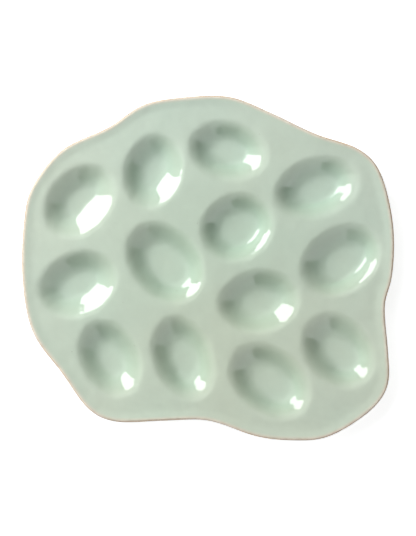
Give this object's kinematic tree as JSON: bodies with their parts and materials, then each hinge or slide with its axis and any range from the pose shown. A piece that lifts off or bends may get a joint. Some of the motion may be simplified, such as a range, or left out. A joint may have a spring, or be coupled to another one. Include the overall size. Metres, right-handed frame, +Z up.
{
  "type": "oyster plate",
  "caption": "Free-form glazed stoneware platter with soft oval wells, each for one oyster on the half shell; it stands on flat feet ground under the wells.",
  "frame": {"origin": "middle of the platter's overall length and width, on the table under the ground feet", "axes": "+X along the platter's length to the right of the picture, +Y towards the top of the picture, +Z up out of the wells"},
  "size_m": [0.34, 0.315, 0.0187],
  "materials": {
    "stoneware": "fired bare clay, matte",
    "celadon_glaze": "gloss"
  },
  "bodies": {
    "root": {"stoneware_body": "stoneware", "face_glaze": "celadon_glaze", "underside_glaze": "celadon_glaze"}
  },
  "joints": []
}
